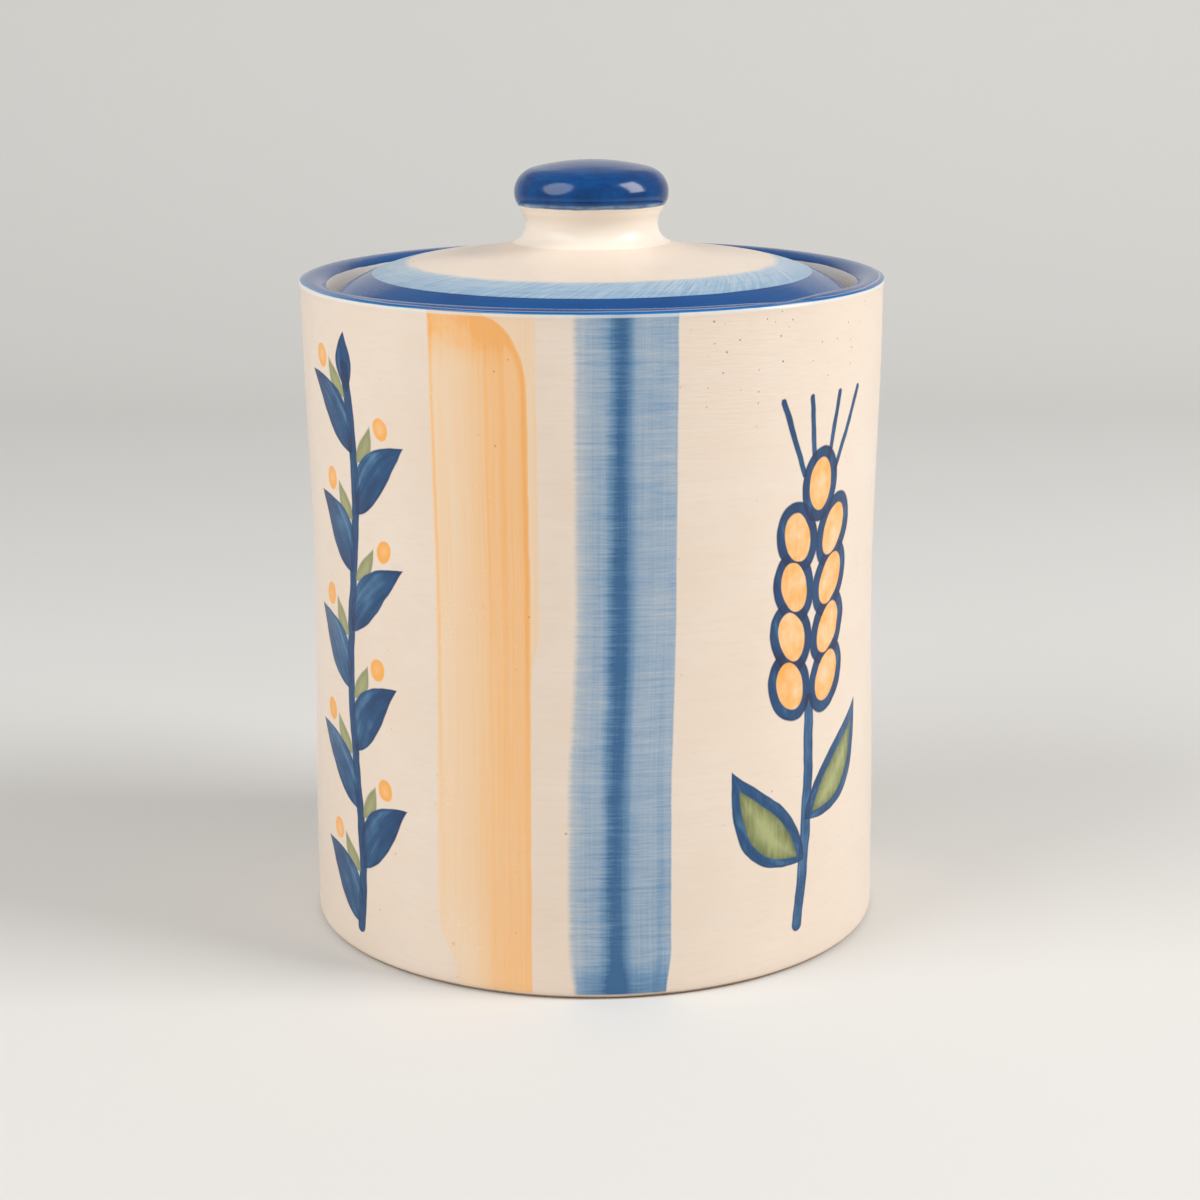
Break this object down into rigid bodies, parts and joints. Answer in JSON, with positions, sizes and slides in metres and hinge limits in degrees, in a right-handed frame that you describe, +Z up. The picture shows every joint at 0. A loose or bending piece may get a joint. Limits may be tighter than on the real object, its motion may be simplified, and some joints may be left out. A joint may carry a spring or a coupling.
{
  "type": "flour canister",
  "caption": "Round glazed stoneware kitchen canister with a recessed drop-in domed lid and mushroom knob, painted with brushed bands and a leaf border.",
  "frame": {"origin": "centre of the foot ring, on the surface that the canister stands on", "axes": "+Z up along the axis of jar, lid and knob; -Y towards the side that the picture shows; +X to that view's right"},
  "size_m": [0.178, 0.178, 0.2343],
  "materials": {
    "jar_glaze": "glossy cream glaze",
    "lid_glaze": "glossy cream glaze, blue bands",
    "knob_glaze": "glossy cobalt glaze"
  },
  "bodies": {
    "jar": {"jar": "jar_glaze"},
    "lid": {"lid": "lid_glaze", "lid_knob": "knob_glaze"}
  },
  "joints": [
    {"name": "lid_lift", "type": "slide", "parent": "jar", "child": "lid", "axis": [0, 0, 1], "range_m": [0, 0.15]}
  ]
}
